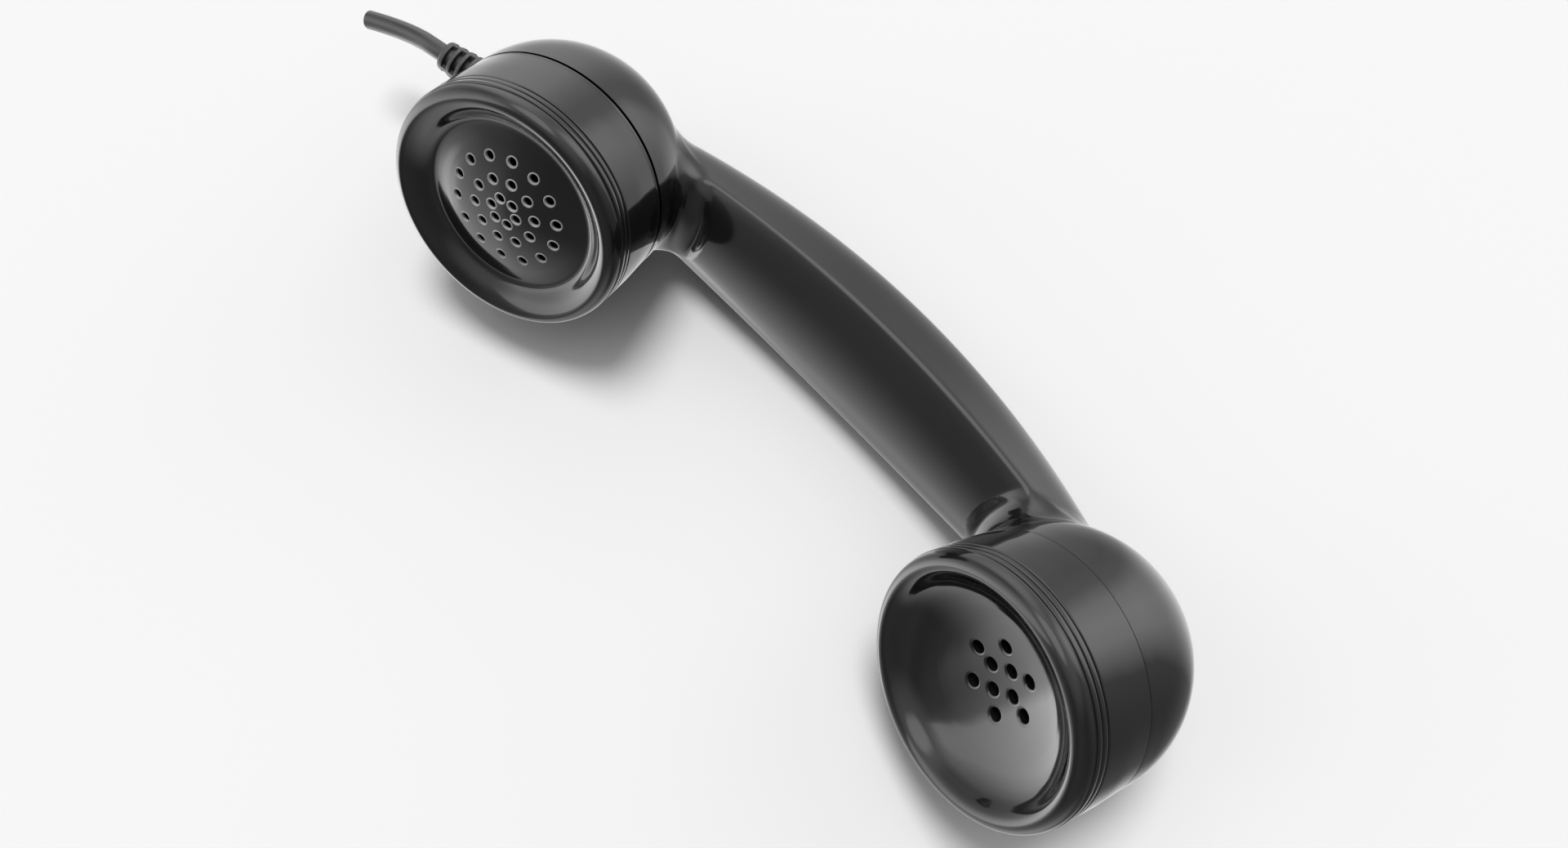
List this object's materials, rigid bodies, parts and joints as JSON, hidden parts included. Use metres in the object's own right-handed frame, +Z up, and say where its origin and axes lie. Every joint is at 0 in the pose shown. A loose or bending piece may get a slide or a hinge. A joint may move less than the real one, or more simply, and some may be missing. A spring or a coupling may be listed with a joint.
{
  "type": "telephone handset",
  "caption": "Moulded telephone handset: arched D-section handle, domed transmitter and receiver cups with screw-on perforated caps, strain relief and a short bare-ended cord.",
  "frame": {"origin": "on the table under the middle of the handset's plan, with the cord and its strain relief left out", "axes": "+Z up, handset lying as it comes to rest on both domes and the belly of the handle; +X from the transmitter cup to the receiver cup; the caps face -Y and up"},
  "size_m": [0.2569, 0.0784, 0.0661],
  "materials": {
    "moulded_shell": "high gloss black, moulded",
    "moulded_caps": "high gloss black, moulded",
    "gasket_rubber": "matte",
    "cord_jacket": "smooth satin black",
    "strain_relief_rubber": "satin black",
    "core_red": "satin",
    "core_green": "satin",
    "core_white": "satin",
    "phenolic": "satin brown",
    "contact_brass": "satin",
    "capsule_aluminium": "satin",
    "carbon": "dull",
    "felt": "felt",
    "soft_iron": "satin",
    "coil_copper": "enamelled winding"
  },
  "bodies": {
    "handset": {"cord_core_1": "core_red", "cord_core_2": "core_green", "cord_core_3": "core_white", "cord_jacket": "cord_jacket", "cord_strain_relief": "strain_relief_rubber", "handset_body": "moulded_shell", "receiver_case": "capsule_aluminium", "receiver_clamp_ring": "capsule_aluminium", "receiver_coil_1": "coil_copper", "receiver_coil_2": "coil_copper", "receiver_diaphragm": "soft_iron", "receiver_grille": "capsule_aluminium", "receiver_lead_1": "core_red", "receiver_lead_2": "core_white", "receiver_magnet": "soft_iron", "receiver_pole_piece_1": "soft_iron", "receiver_pole_piece_2": "soft_iron", "receiver_retainer": "capsule_aluminium", "receiver_spacer": "capsule_aluminium", "receiver_terminal_block": "phenolic", "transmitter_carbon_granules": "carbon", "transmitter_case": "capsule_aluminium", "transmitter_centre_contact": "contact_brass", "transmitter_clamp_ring": "capsule_aluminium", "transmitter_diaphragm": "capsule_aluminium", "transmitter_felt_ring": "felt", "transmitter_fixed_electrode": "contact_brass", "transmitter_grille": "capsule_aluminium", "transmitter_insulator": "phenolic", "transmitter_moving_electrode": "contact_brass", "transmitter_ring_contact": "contact_brass", "transmitter_spacer": "capsule_aluminium", "transmitter_terminal_block": "phenolic", "transmitter_tray": "phenolic"},
    "transmitter_seal": {"transmitter_gasket": "gasket_rubber"},
    "transmitter_cap": {"transmitter_cap": "moulded_caps"},
    "receiver_seal": {"receiver_gasket": "gasket_rubber"},
    "receiver_cap": {"receiver_cap": "moulded_caps"}
  },
  "joints": [
    {"name": "transmitter_cap_lift", "type": "slide", "parent": "handset", "child": "transmitter_seal", "axis": [0.2504, -0.8444, 0.4736], "range_m": [0, 0.009]},
    {"name": "transmitter_cap_turn", "type": "hinge", "parent": "transmitter_seal", "child": "transmitter_cap", "pos_m": [-0.07905, -0.00708, 0.0315], "axis": [0.2504, -0.8444, 0.4736], "range_deg": [0, 1080]},
    {"name": "receiver_cap_lift", "type": "slide", "parent": "handset", "child": "receiver_seal", "axis": [-0.2924, -0.8341, 0.4678], "range_m": [0, 0.009]},
    {"name": "receiver_cap_turn", "type": "hinge", "parent": "receiver_seal", "child": "receiver_cap", "pos_m": [0.07889, -0.00704, 0.03148], "axis": [-0.2924, -0.8341, 0.4678], "range_deg": [0, 1080]}
  ],
  "couplings": [
    {"joint": "transmitter_cap_lift", "follows": "transmitter_cap_turn", "m_per_rad": 0.00047746},
    {"joint": "receiver_cap_lift", "follows": "receiver_cap_turn", "m_per_rad": 0.00047746}
  ]
}
